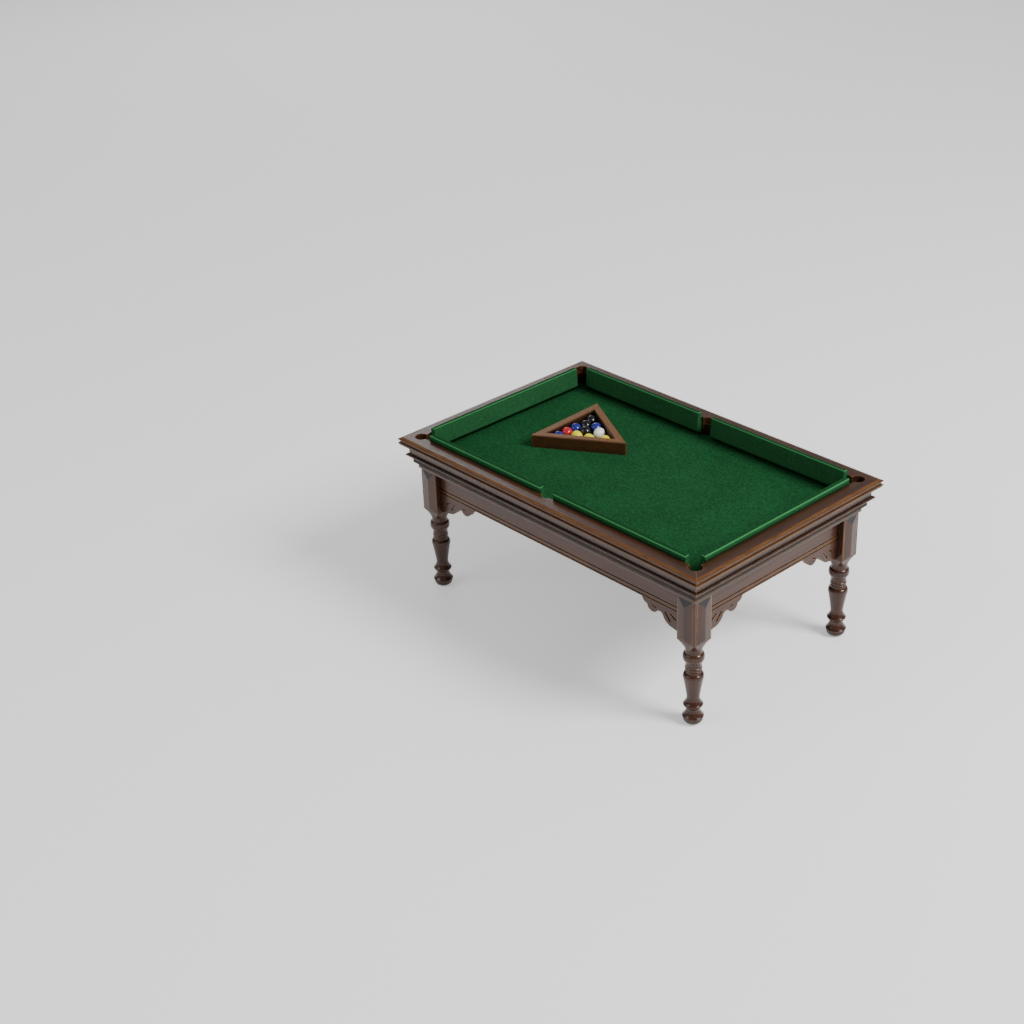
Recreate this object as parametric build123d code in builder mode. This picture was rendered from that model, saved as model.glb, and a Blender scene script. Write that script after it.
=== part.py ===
from build123d import *

import os
from math import atan2, cos, degrees, hypot, radians, sin, sqrt

# Miniature pool table. Millimetres. +X runs along the long rails, +Y across, +Z up.
# The origin is on the floor under the middle of the rails.

os.makedirs("parts", exist_ok=True)

# ---- overall sizes ------------------------------------------------------------
table_length = 200.0
table_width = 128.0
rail_top = 85.0

# ---- frame mouldings ----------------------------------------------------------
rail_width = 8.4
rail_height = 3.7
cove_height = 6.7
rail_bevel = 1.7
rail_bevel_drop = 0.6
lip_height = 0.9
lip_groove_depth = 0.8
lip_groove_height = 1.3
lip_nose = 0.25
cove_setback = 3.7
cove_step = 0.3
sill_setback = 2.3
sill_height = 1.3
sill_chamfer = 0.45

# ---- pockets ------------------------------------------------------------------
pocket_radius = 3.3
side_pocket_shift = -1.5
side_pocket_bite = 1.9

# ---- bed ----------------------------------------------------------------------
bed_board_thickness = 3.6
bed_board_setback = 4.9
bed_felt_thickness = 0.6
felt_edge_gap = 0.1

# ---- cushions -----------------------------------------------------------------
cushion_proud = 3.0
cushion_top_width = 2.7
cushion_nose_reach = 3.4
cushion_nose_height = 3.1
cushion_foot_reach = 0.8
cushion_round = 0.65
cushion_felt_thickness = 0.5
cushion_seat_gap = 0.05
felt_tuck = 0.5
corner_gap_long = 6.1
corner_gap_short = 6.1
side_gap = 8.4

# ---- legs ---------------------------------------------------------------------
leg_setback = 7.4
block_side = 10.9
block_foot = 44.7
block_edge = 0.2
neck_height = 40.6
neck_radius = 4.15
dowel_radius = 1.5
dowel_length = 9.0
dowel_clearance = 0.05
dowel_sink = 2.4

# ---- raised facings on the leg blocks -----------------------------------------
facing_rise = 0.9
facing_corner_margin = 0.9
facing_inner_margin = 0.25
facing_foot_margin = 0.6
facing_ridge_width = 0.5
facing_top_hip = 4.2
facing_foot_hip = 1.1

# ---- aprons -------------------------------------------------------------------
apron_recess = 3.5
apron_thickness = 3.2
apron_foot = 55.1
apron_groove_width = 0.8
apron_groove_depth = 0.4
apron_grooves = (58.1, 56.0)
apron_end_gap = 0.02
bead_foot = 67.7
bead_height = 1.9
bead_proud = 0.8
bead_round = 0.35
gouge_depth = 0.45

# ---- rack and balls -----------------------------------------------------------
ball_diameter = 6.0
ball_gap = 0.08
rack_gap = 0.08
bed_rest_gap = 0.1
rack_bar_width = 4.1
rack_height = 6.6
rack_edge = 0.4
rack_corner_trim = 0.35
rack_x = -45.0
rack_y = 12.0
rack_turn = 2.3

# ---- levels that follow from the sizes above ----------------------------------
rail_foot = rail_top - rail_height
board_top = rail_foot - cove_height
board_foot = board_top - bed_board_thickness
bed_level = board_top + bed_felt_thickness
cushion_top = rail_top + cushion_proud
half_length = table_length / 2
half_width = table_width / 2
inner_x = half_length - rail_width
inner_y = half_width - rail_width
block_x = half_length - leg_setback - block_side / 2
block_y = half_width - leg_setback - block_side / 2
side_pocket_y = inner_y + side_pocket_bite - pocket_radius

sides = ("front", "back", "left", "right")
outward = {"front": -1, "back": 1, "left": -1, "right": 1}
corners = {
    "front_left": (-1, -1),
    "front_right": (1, -1),
    "back_left": (-1, 1),
    "back_right": (1, 1),
}


def runs_along_x(side):
    return side in ("front", "back")


def section_plane(side):
    """Plane across a side's run, with its first axis along the outward normal's axis."""
    return Plane.YZ if runs_along_x(side) else Plane.XZ


def half_span(side):
    return half_width if runs_along_x(side) else half_length


def half_run(side):
    return half_length if runs_along_x(side) else half_width


def across(side, setback):
    """Signed position of a face set back from the outer edge of the rails."""
    return outward[side] * (half_span(side) - setback)


def section_points(side, pairs):
    return [(across(side, setback), height) for setback, height in pairs]


def mitre_planes(side):
    """The two vertical planes through the table's corners that end a side's moulding."""
    sign = outward[side]
    if runs_along_x(side):
        return [
            Plane(origin=(end * half_length, sign * half_width, 0), z_dir=(end, -sign, 0))
            for end in (-1, 1)
        ]
    return [
        Plane(origin=(sign * half_length, end * half_width, 0), z_dir=(-sign, end, 0))
        for end in (-1, 1)
    ]


def pocket_centres(side):
    """Drilled pockets that bite into one side's mouldings."""
    sign = outward[side]
    if runs_along_x(side):
        return [
            (-inner_x, sign * inner_y),
            (inner_x, sign * inner_y),
            (side_pocket_shift, sign * side_pocket_y),
        ]
    return [(sign * inner_x, -inner_y), (sign * inner_x, inner_y)]


def save(node_name, builder):
    builder.part.label = node_name
    export_step(builder.part, f"parts/{node_name}.step")


# ---- top rails: flat cap, bevel, two lips with a groove between ----------------
def top_rail(side):
    lip_top = rail_top - rail_bevel_drop
    groove_top = lip_top - lip_height
    groove_foot = groove_top - lip_groove_height
    outline = [
        (rail_width, rail_foot),
        (rail_width, rail_top - lip_nose),
        (rail_width - lip_nose, rail_top),
        (rail_bevel, rail_top),
        (lip_nose, lip_top),
        (0, lip_top - lip_nose),
        (0, groove_top + lip_nose),
        (lip_groove_depth, groove_top - lip_nose),
        (lip_groove_depth, groove_foot + lip_nose),
        (0, groove_foot),
        (0, rail_foot + lip_nose),
        (lip_nose, rail_foot),
    ]
    with BuildPart() as rail:
        with BuildSketch(section_plane(side)):
            with BuildLine():
                Polyline(*section_points(side, outline), close=True)
            make_face()
        extrude(amount=half_run(side), both=True)
        for plane in mitre_planes(side):
            split(bisect_by=plane, keep=Keep.BOTTOM)
        with BuildSketch(Plane.XY.offset(rail_top)):
            with Locations(*pocket_centres(side)):
                Circle(pocket_radius)
        extrude(amount=-rail_height, mode=Mode.SUBTRACT)
    return rail


# ---- cove mouldings under the rails, with a square sill at the foot ------------
def cove_moulding(side):
    cove_radius = cove_setback - cove_step
    cove_foot = rail_foot - cove_step - cove_radius
    sill_top = board_top + sill_height
    lean = cove_radius * cos(radians(45))
    with BuildPart() as moulding:
        with BuildSketch(section_plane(side)):
            with BuildLine():
                Polyline(
                    *section_points(
                        side,
                        [
                            (cove_setback, cove_foot),
                            (cove_setback, sill_top + sill_chamfer),
                            (sill_setback + sill_chamfer, sill_top),
                            (sill_setback, sill_top - sill_chamfer),
                            (sill_setback, board_top + sill_chamfer),
                            (sill_setback + sill_chamfer, board_top),
                            (rail_width, board_top),
                            (rail_width, rail_foot),
                            (cove_step, rail_foot),
                            (cove_step, rail_foot - cove_step),
                        ],
                    )
                )
                ThreePointArc(
                    *section_points(
                        side,
                        [
                            (cove_step, rail_foot - cove_step),
                            (cove_step + lean, cove_foot + lean),
                            (cove_setback, cove_foot),
                        ],
                    )
                )
            make_face()
        extrude(amount=half_run(side), both=True)
        for plane in mitre_planes(side):
            split(bisect_by=plane, keep=Keep.BOTTOM)
        with BuildSketch(Plane.XY.offset(rail_foot)):
            with Locations(*pocket_centres(side)):
                Circle(pocket_radius)
        extrude(amount=-cove_height, mode=Mode.SUBTRACT)
    return moulding


# ---- small bead that runs round the aprons and the leg blocks ------------------
def apron_bead(side):
    bead_face = leg_setback - bead_proud
    bead_top = bead_foot + bead_height
    outline = [
        (leg_setback, bead_foot),
        (leg_setback, bead_top),
        (bead_face + bead_round, bead_top),
        (bead_face, bead_top - bead_round),
        (bead_face, bead_foot + bead_round),
        (bead_face + bead_round, bead_foot),
    ]
    with BuildPart() as bead:
        with BuildSketch(section_plane(side)):
            with BuildLine():
                Polyline(*section_points(side, outline), close=True)
            make_face()
        extrude(amount=half_run(side), both=True)
        for plane in mitre_planes(side):
            split(bisect_by=plane, keep=Keep.BOTTOM)
    return bead


for side in sides:
    save(f"rail_{side}", top_rail(side))
    save(f"cove_moulding_{side}", cove_moulding(side))
    save(f"apron_bead_{side}", apron_bead(side))


# ---- bed board and its felt ----------------------------------------------------
board_length = table_length - 2 * bed_board_setback
board_width = table_width - 2 * bed_board_setback
dowel_top = board_foot + dowel_sink
dowel_foot = dowel_top - dowel_length
dowel_spots = [(sx * block_x, sy * block_y) for sx, sy in corners.values()]

with BuildPart() as bed_board:
    with BuildSketch(Plane.XY.offset(board_foot)):
        Rectangle(board_length, board_width)
    extrude(amount=bed_board_thickness)
    with BuildSketch(Plane.XY.offset(board_foot)):
        with Locations(*dowel_spots):
            Circle(dowel_radius + dowel_clearance)
    extrude(amount=dowel_sink + dowel_clearance, mode=Mode.SUBTRACT)
save("bed_board", bed_board)

all_pockets = sorted({spot for side in sides for spot in pocket_centres(side)})
with BuildPart() as bed_felt:
    with BuildSketch(Plane.XY.offset(board_top)):
        Rectangle(2 * (inner_x - felt_edge_gap), 2 * (inner_y - felt_edge_gap))
        with Locations(*all_pockets):
            Circle(pocket_radius - felt_edge_gap)
    extrude(amount=bed_felt_thickness)
save("bed_felt", bed_felt)


# ---- cushions: a wooden core with felt stretched over it -----------------------
cushion_foot = bed_level + cushion_seat_gap


def reach(side, distance):
    """Signed position of a face that stands in from the rail's inner wall."""
    return across(side, rail_width + distance)


def cushion_face(side, shrink, tuck_level):
    """Closed corner list of the cushion's section, shrunk by a felt's thickness."""
    back = cushion_seat_gap
    top = cushion_top - shrink
    rounding = cushion_round - shrink * 0.5
    points = [
        (back, cushion_foot),
        (back, tuck_level),
        (back + shrink, tuck_level),
        (back + shrink, top - rounding),
        (back + shrink + rounding, top),
        (cushion_top_width - shrink - rounding, top),
        (cushion_top_width - shrink, top - rounding),
        (cushion_nose_reach - shrink, bed_level + cushion_nose_height),
        (cushion_foot_reach - shrink * 0.5, cushion_foot),
    ]
    if shrink == 0:
        points = points[:1] + points[3:]
    return [(reach(side, distance), height) for distance, height in points]


def cushion_run_plane(side, start):
    """Section plane at one end of a cushion, looking along its run."""
    if runs_along_x(side):
        return Plane.YZ.offset(start)
    return Plane.XZ.offset(-start)


def extrude_sign(side):
    return 1 if runs_along_x(side) else -1


def cushion_core(side, start, end):
    ends_in = cushion_felt_thickness
    with BuildPart() as core:
        with BuildSketch(cushion_run_plane(side, start + ends_in)):
            with BuildLine():
                points = cushion_face(side, cushion_felt_thickness, rail_top - felt_tuck)
                Polyline(*points, close=True)
            make_face()
        extrude(amount=extrude_sign(side) * (end - start - 2 * ends_in))
    return core


def cushion_felt(side, start, end):
    ends_in = cushion_felt_thickness
    with BuildPart() as cover:
        with BuildSketch(cushion_run_plane(side, start)):
            with BuildLine():
                Polyline(*cushion_face(side, 0, rail_top), close=True)
            make_face()
        extrude(amount=extrude_sign(side) * (end - start))
        with BuildSketch(cushion_run_plane(side, start + ends_in)):
            with BuildLine():
                points = cushion_face(side, cushion_felt_thickness, rail_top - felt_tuck)
                Polyline(*points, close=True)
            make_face()
        extrude(amount=extrude_sign(side) * (end - start - 2 * ends_in), mode=Mode.SUBTRACT)
    return cover


long_end = inner_x - corner_gap_long
short_end = inner_y - corner_gap_short
side_gap_low = side_pocket_shift - side_gap / 2
side_gap_high = side_pocket_shift + side_gap / 2
cushion_runs = {
    "front_left": ("front", -long_end, side_gap_low),
    "front_right": ("front", side_gap_high, long_end),
    "back_left": ("back", -long_end, side_gap_low),
    "back_right": ("back", side_gap_high, long_end),
    "left": ("left", -short_end, short_end),
    "right": ("right", -short_end, short_end),
}
for cushion_name, (side, start, end) in cushion_runs.items():
    save(f"cushion_core_{cushion_name}", cushion_core(side, start, end))
    save(f"cushion_felt_{cushion_name}", cushion_felt(side, start, end))


# ---- turned legs with square blocks ---------------------------------------------
# Turned outline below the block as (radius, height) pairs, from the neck to the foot.
neck_run = [(neck_radius, neck_height), (3.95, 39.4), (4.0, 38.1)]
upper_bead = [(4.0, 38.1), (4.75, 37.3), (5.0, 35.7), (4.7, 34.2), (4.0, 33.3)]
collar = [(4.0, 33.3), (3.75, 31.9), (3.72, 30.5)]
ring_one = [(3.72, 30.5), (3.98, 30.1), (3.72, 29.7)]
ring_two = [(3.7, 28.9), (3.92, 28.5), (3.68, 28.1)]
lower_bead = [(3.65, 27.2), (4.55, 26.5), (4.8, 25.2), (4.6, 24.0)]
long_taper = [(4.6, 24.0), (4.1, 21.2), (3.45, 17.3), (3.03, 14.0)]
knop_rise = [(3.03, 14.0), (3.35, 12.3), (4.25, 10.7)]
knop_crown = (4.6, 10.1)
knop_fall = [(4.25, 9.5), (3.6, 8.4), (3.35, 7.4)]
foot_rise = [(3.35, 7.4), (3.75, 5.9), (4.75, 4.3)]
foot_crown = (5.0, 3.8)
foot_groove = (4.8, 3.4)
foot_ball = [(4.6, 3.1), (4.55, 2.0), (3.7, 0.7), (2.6, 0.0)]


def turned_leg(sign_x, sign_y):
    centre = (sign_x * block_x, sign_y * block_y)
    with BuildPart() as leg:
        with BuildSketch(Plane.XY.offset(block_foot)):
            with Locations(centre):
                Rectangle(block_side, block_side)
        extrude(amount=board_foot - block_foot)
        chamfer(leg.edges().filter_by(Axis.Z), length=block_edge)
        with BuildSketch(Plane.XY.offset(block_foot)):
            with Locations(centre):
                Rectangle(block_side - 2 * block_edge, block_side - 2 * block_edge)
        with BuildSketch(Plane.XY.offset(neck_height)):
            with Locations(centre):
                Circle(neck_radius)
        loft()
        with BuildSketch(Plane(origin=(*centre, 0), x_dir=(1, 0, 0), z_dir=(0, -1, 0))):
            with BuildLine():
                Spline(*neck_run)
                Spline(*upper_bead)
                Spline(*collar)
                Spline(*ring_one)
                Line(ring_one[-1], ring_two[0])
                Spline(*ring_two)
                Line(ring_two[-1], lower_bead[0])
                Spline(*lower_bead)
                Spline(*long_taper)
                Spline(*knop_rise)
                ThreePointArc(knop_rise[-1], knop_crown, knop_fall[0])
                Spline(*knop_fall)
                Spline(*foot_rise)
                ThreePointArc(foot_rise[-1], foot_crown, foot_groove)
                Line(foot_groove, foot_ball[0])
                Spline(*foot_ball)
                Line(foot_ball[-1], (0, 0))
                Line((0, 0), (0, neck_height))
                Line((0, neck_height), neck_run[0])
            make_face()
        revolve(axis=Axis((centre[0], centre[1], 0), (0, 0, 1)))
        with BuildSketch(Plane.XY.offset(board_foot)):
            with Locations(centre):
                Circle(dowel_radius + dowel_clearance)
        extrude(amount=-(dowel_length - dowel_sink + dowel_clearance), mode=Mode.SUBTRACT)
    return leg


for corner_name, (sign_x, sign_y) in corners.items():
    save(f"leg_{corner_name}", turned_leg(sign_x, sign_y))

with BuildPart() as leg_dowels:
    with BuildSketch(Plane.XY.offset(dowel_foot)):
        with Locations(*dowel_spots):
            Circle(dowel_radius)
    extrude(amount=dowel_length)
save("leg_dowels", leg_dowels)


# ---- raised facings, one on each outward face of a leg block --------------------
def block_facing(side, corner_sign):
    """A hipped panel with an upright ridge; corner_sign says at which end its leg stands."""
    block_outer = half_run(side) - leg_setback
    near = corner_sign * (block_outer - facing_corner_margin)
    far = corner_sign * (block_outer - block_side + facing_inner_margin)
    low = block_foot + facing_foot_margin
    ridge_low = low + facing_foot_hip
    ridge_high = bead_foot - facing_top_hip
    sign = outward[side]
    seat = half_span(side) - leg_setback
    if runs_along_x(side):
        base_plane = Plane(origin=(0, sign * seat, 0), x_dir=(1, 0, 0), z_dir=(0, -1, 0))
        ridge_plane = base_plane.offset(-sign * facing_rise)
    else:
        base_plane = Plane(origin=(sign * seat, 0, 0), x_dir=(0, 1, 0), z_dir=(1, 0, 0))
        ridge_plane = base_plane.offset(sign * facing_rise)
    with BuildPart() as facing:
        with BuildSketch(base_plane):
            with Locations(((near + far) / 2, (low + bead_foot) / 2)):
                Rectangle(abs(far - near), bead_foot - low)
        with BuildSketch(ridge_plane):
            with Locations(((near + far) / 2, (ridge_low + ridge_high) / 2)):
                Rectangle(facing_ridge_width, ridge_high - ridge_low)
        loft()
    return facing


for corner_name, (sign_x, sign_y) in corners.items():
    long_side = "front" if sign_y < 0 else "back"
    short_side = "left" if sign_x < 0 else "right"
    save(f"facing_{corner_name}_long_side", block_facing(long_side, sign_x))
    save(f"facing_{corner_name}_short_side", block_facing(short_side, sign_y))


# ---- aprons with scrolled ends ---------------------------------------------------
# Scroll outline as (distance from the leg block, height), from the straight edge in.
scroll_start = (24.5, apron_foot)
scroll_lobe_one = [scroll_start, (23.4, 53.3), (21.3, 52.4)]
scroll_step = (20.9, 51.2)
scroll_lobe_two = [scroll_step, (18.0, 49.5), (15.2, 50.9)]
scroll_arch = [(15.2, 50.9), (13.4, 51.6), (11.7, 50.7)]
scroll_sweep = [(11.7, 50.7), (10.0, 48.1), (7.4, 46.5)]
scroll_shelf = (3.6, 45.8)
scroll_lobe_three = [scroll_shelf, (2.0, 45.4), (0.0, 45.1)]
# Carved strokes on each scroll: distance from the block, height, length, width, slant.
scroll_strokes = [
    (8.6, 50.7, 5.6, 1.1, 50),
    (5.3, 52.0, 4.4, 0.9, 30),
    (16.8, 52.7, 2.6, 0.7, 18),
]


def apron(side):
    """A board cut to the scroll outline, standing between two leg blocks."""
    sign = outward[side]
    face = half_span(side) - leg_setback - apron_recess
    if runs_along_x(side):
        reach_end = block_x - block_side / 2 - apron_end_gap
        front = Plane(origin=(0, sign * face, 0), x_dir=(-sign, 0, 0), z_dir=(0, sign, 0))
    else:
        reach_end = block_y - block_side / 2 - apron_end_gap
        front = Plane(origin=(sign * face, 0, 0), x_dir=(0, sign, 0), z_dir=(sign, 0, 0))

    with BuildPart() as board:
        with BuildSketch(front):
            with BuildLine():
                for end in (-1, 1):

                    def at(point, end=end):
                        return (end * (reach_end - point[0]), point[1])

                    ThreePointArc(*[at(point) for point in scroll_lobe_one])
                    Line(at(scroll_lobe_one[-1]), at(scroll_step))
                    ThreePointArc(*[at(point) for point in scroll_lobe_two])
                    ThreePointArc(*[at(point) for point in scroll_arch])
                    ThreePointArc(*[at(point) for point in scroll_sweep])
                    Line(at(scroll_sweep[-1]), at(scroll_shelf))
                    ThreePointArc(*[at(point) for point in scroll_lobe_three])
                    Line(at(scroll_lobe_three[-1]), at((0, board_foot)))
                Line((-reach_end, board_foot), (reach_end, board_foot))
                Line(
                    (-(reach_end - scroll_start[0]), apron_foot),
                    (reach_end - scroll_start[0], apron_foot),
                )
            make_face()
        extrude(amount=-apron_thickness)
        with BuildSketch(front):
            with Locations((0, (bead_foot + board_foot) / 2)):
                Rectangle(2 * reach_end, board_foot - bead_foot)
        extrude(amount=apron_recess)
        with BuildSketch(front):
            with Locations(*[(0, height) for height in apron_grooves]):
                Rectangle(2 * reach_end, apron_groove_width)
        extrude(amount=-apron_groove_depth, mode=Mode.SUBTRACT)
        with BuildSketch(front):
            for away, height, length, width, slant in scroll_strokes:
                for end in (-1, 1):
                    with Locations((end * (reach_end - away), height)):
                        SlotOverall(length, width, rotation=-end * slant)
        extrude(amount=-gouge_depth, mode=Mode.SUBTRACT)
    return board


for side in sides:
    save(f"apron_{side}", apron(side))


# ---- triangular rack of three mitred bars ----------------------------------------
ball_pitch = ball_diameter + ball_gap
ball_radius = ball_diameter / 2
balls_per_side = 5
rack_inner_side = (balls_per_side - 1) * ball_pitch + 2 * sqrt(3) * (ball_radius + rack_gap)
rack_inner_corner = rack_inner_side / sqrt(3)
rack_outer_corner = rack_inner_corner + 2 * rack_bar_width
rack_foot = bed_level + bed_rest_gap
rack_plane = Plane(
    origin=(rack_x, rack_y, rack_foot),
    x_dir=(cos(radians(rack_turn)), sin(radians(rack_turn)), 0),
    z_dir=(0, 0, 1),
)


def ray(radius, angle):
    return (radius * cos(radians(angle)), radius * sin(radians(angle)))


def rack_bar(first, second):
    """One bar between two corner directions, given in degrees round the rack's centre."""
    middle = (first + second) / 2
    trim_depth = rack_corner_trim / cos(radians(60))
    with BuildPart() as bar:
        with BuildSketch(rack_plane):
            with BuildLine():
                Polyline(
                    ray(rack_inner_corner, first),
                    ray(rack_outer_corner, first),
                    ray(rack_outer_corner, second),
                    ray(rack_inner_corner, second),
                    close=True,
                )
            make_face()
        extrude(amount=rack_height)
        outer_face = bar.faces().sort_by(Axis((0, 0, 0), rack_direction(middle)))[-1]
        inner_face = bar.faces().filter_by(
            lambda face: abs(face.normal_at().dot(Vector(*rack_direction(middle)))) > 0.99
        ).sort_by(Axis((0, 0, 0), rack_direction(middle)))[0]
        top_edges = ShapeList(
            [face.edges().sort_by(Axis.Z)[-1] for face in (outer_face, inner_face)]
        )
        chamfer(top_edges, length=rack_edge)
        for corner in (first, second):
            along = rack_direction(corner)
            reach_out = rack_outer_corner - trim_depth
            split(
                bisect_by=Plane(
                    origin=(rack_x + along[0] * reach_out, rack_y + along[1] * reach_out, 0),
                    z_dir=along,
                ),
                keep=Keep.BOTTOM,
            )
    return bar


def rack_direction(angle):
    turned = angle + rack_turn
    return (cos(radians(turned)), sin(radians(turned)), 0)


save("rack_bar_front", rack_bar(240, 360))
save("rack_bar_right", rack_bar(0, 120))
save("rack_bar_left", rack_bar(120, 240))

# ---- balls: row and place in ball pitches, counted from the rack's left bar -------
ball_spots = {
    "ball_blue_front": (0.00, 0.06),
    "ball_red": (0.00, 1.06),
    "ball_blue_middle": (0.04, 2.05),
    "ball_black_middle": (0.33, 2.87),
    "ball_black_back": (0.00, 4.00),
    "ball_yellow_left": (1.23, 0.49),
    "ball_black_front": (1.19, 1.60),
    "ball_blue_back": (1.46, 2.54),
    "ball_yellow_middle": (2.55, 0.07),
    "ball_white": (2.44, 1.52),
    "ball_yellow_right": (3.92, 0.04),
}
first_row = -(rack_inner_corner / 2 - ball_radius - rack_gap)
row_step = ball_pitch * sqrt(3) / 2
centre_place = (balls_per_side - 1) / 2
for ball_name, (row, place) in ball_spots.items():
    along = first_row + row * row_step
    sideways = (place - centre_place + row / 2) * ball_pitch
    swing = degrees(atan2(sideways, along)) + rack_turn
    spot = ray(hypot(along, sideways), swing)
    with BuildPart() as ball:
        with Locations((rack_x + spot[0], rack_y + spot[1], rack_foot + ball_radius)):
            Sphere(ball_radius)
    save(ball_name, ball)
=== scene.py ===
"""Looks for the miniature pool table: stained wood, stretched felt and polished balls."""

import logging
import math
from dataclasses import dataclass, field
from enum import Enum

import bmesh
import bpy
from mathutils import Matrix, Vector, noise


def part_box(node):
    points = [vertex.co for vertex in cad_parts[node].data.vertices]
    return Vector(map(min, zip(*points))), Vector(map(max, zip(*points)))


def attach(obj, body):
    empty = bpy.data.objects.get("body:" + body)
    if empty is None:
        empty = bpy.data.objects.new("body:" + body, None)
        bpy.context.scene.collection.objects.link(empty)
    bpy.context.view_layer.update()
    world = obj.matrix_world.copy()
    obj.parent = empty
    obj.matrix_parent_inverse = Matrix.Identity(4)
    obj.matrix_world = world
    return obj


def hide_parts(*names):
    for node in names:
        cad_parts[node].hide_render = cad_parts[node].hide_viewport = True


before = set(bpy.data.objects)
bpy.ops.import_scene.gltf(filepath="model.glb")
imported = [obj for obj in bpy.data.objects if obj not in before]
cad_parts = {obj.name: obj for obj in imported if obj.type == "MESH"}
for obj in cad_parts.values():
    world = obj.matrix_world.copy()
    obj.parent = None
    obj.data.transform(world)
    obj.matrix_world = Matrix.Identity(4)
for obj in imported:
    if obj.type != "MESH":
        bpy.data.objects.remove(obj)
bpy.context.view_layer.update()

MM = 0.001
log = logging.getLogger("pool_table")

Colour = tuple[float, float, float]
Pair = tuple[float, float]
Socket = bpy.types.NodeSocket


class Run(Enum):
    """Direction in which a piece's grain runs, as the share of frequency kept along each axis."""

    ALONG_X = (0.07, 1.0, 1.0)
    ALONG_Y = (1.0, 0.07, 1.0)
    UPRIGHT = (1.0, 1.0, 0.09)


class Side(Enum):
    """The four sides of the table, as the outward direction of each."""

    FRONT = (0, -1)
    BACK = (0, 1)
    LEFT = (-1, 0)
    RIGHT = (1, 0)

    @property
    def along_x(self) -> bool:
        """True if the side's run is along the table's length."""
        return self.value[0] == 0

    @property
    def grain(self) -> Run:
        """Grain direction of a board on this side."""
        return Run.ALONG_X if self.along_x else Run.ALONG_Y


def linear(red: int, green: int, blue: int) -> Colour:
    """Linear colour of a paint-chart value given in 0 to 255 steps."""
    def channel(value: int) -> float:
        """Linear share of one channel."""
        share = value / 255
        return share / 12.92 if share <= 0.04045 else ((share + 0.055) / 1.055) ** 2.4

    return (channel(red), channel(green), channel(blue))


class Wiring:
    """Short ways to place and join shader nodes in one tree."""

    def __init__(self, tree: bpy.types.NodeTree) -> None:
        """Keeps the tree that the nodes go into."""
        self.tree = tree

    def node(self, kind: str, **settings: object) -> bpy.types.Node:
        """Adds a node.

        Args:
            kind: the node's type name.
            settings: the node's own properties by name.

        Returns:
            The new node.
        """
        made = self.tree.nodes.new(kind)
        for name, value in settings.items():
            setattr(made, name, value)
        return made

    def feed(self, socket: Socket, value: object) -> None:
        """Links a socket to another, or sets its own value.

        Args:
            socket: the input to feed.
            value: an output socket, a number, or a tuple.
        """
        if isinstance(value, bpy.types.NodeSocket):
            self.tree.links.new(value, socket)
        elif isinstance(value, tuple) and socket.type == "RGBA":
            socket.default_value = (*value, 1.0)
        else:
            socket.default_value = value

    def math(self, operation: str, first: object, second: object = 0.0) -> Socket:
        """Output of a Math node on two values."""
        made = self.node("ShaderNodeMath", operation=operation)
        self.feed(made.inputs[0], first)
        self.feed(made.inputs[1], second)
        return made.outputs[0]

    def vector_math(self, operation: str, first: object, second: object) -> Socket:
        """Output of a Vector Math node on two vectors, a number for a dot product."""
        made = self.node("ShaderNodeVectorMath", operation=operation)
        self.feed(made.inputs[0], first)
        self.feed(made.inputs[1], second)
        return made.outputs["Value" if operation == "DOT_PRODUCT" else "Vector"]

    def surface_normal(self) -> Socket:
        """Normal of the surface before any bump."""
        return self.node("ShaderNodeNewGeometry").outputs["Normal"]

    def remap(
        self, value: object, source: tuple[object, object], target: Pair = (0.0, 1.0)
    ) -> Socket:
        """Value carried smoothly from one range to another, and clamped.

        Args:
            value: what to carry over.
            source: the range's two ends on the way in, each a number or a socket.
            target: the range's two ends on the way out.

        Returns:
            The remapped value's socket.
        """
        made = self.node("ShaderNodeMapRange", interpolation_type="SMOOTHSTEP")
        for index, entry in enumerate((value, *source, *target)):
            self.feed(made.inputs[index], entry)
        return made.outputs[0]

    def blend(self, share: object, first: object, second: object, how: str = "MIX") -> Socket:
        """Colour between two colours.

        Args:
            share: how much of the second shows, from 0 to 1.
            first: colour or socket at 0.
            second: colour or socket at 1.
            how: the mix's blend type.

        Returns:
            The mixed colour's socket.
        """
        made = self.node("ShaderNodeMix", data_type="RGBA", blend_type=how)
        self.feed(made.inputs["Factor"], share)
        self.feed(made.inputs[6], first)
        self.feed(made.inputs[7], second)
        return made.outputs[2]

    def cloud(
        self, vector: object, scale: float, detail: float, roughness: float = 0.55
    ) -> Socket:
        """Soft noise value at a scale.

        Args:
            vector: where to look it up.
            scale: the noise's frequency.
            detail: octaves.
            roughness: how strong the small octaves are.

        Returns:
            The noise's value socket.
        """
        made = self.node("ShaderNodeTexNoise")
        self.feed(made.inputs["Vector"], vector)
        self.feed(made.inputs["Scale"], scale)
        self.feed(made.inputs["Detail"], detail)
        self.feed(made.inputs["Roughness"], roughness)
        return made.outputs[0]


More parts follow.
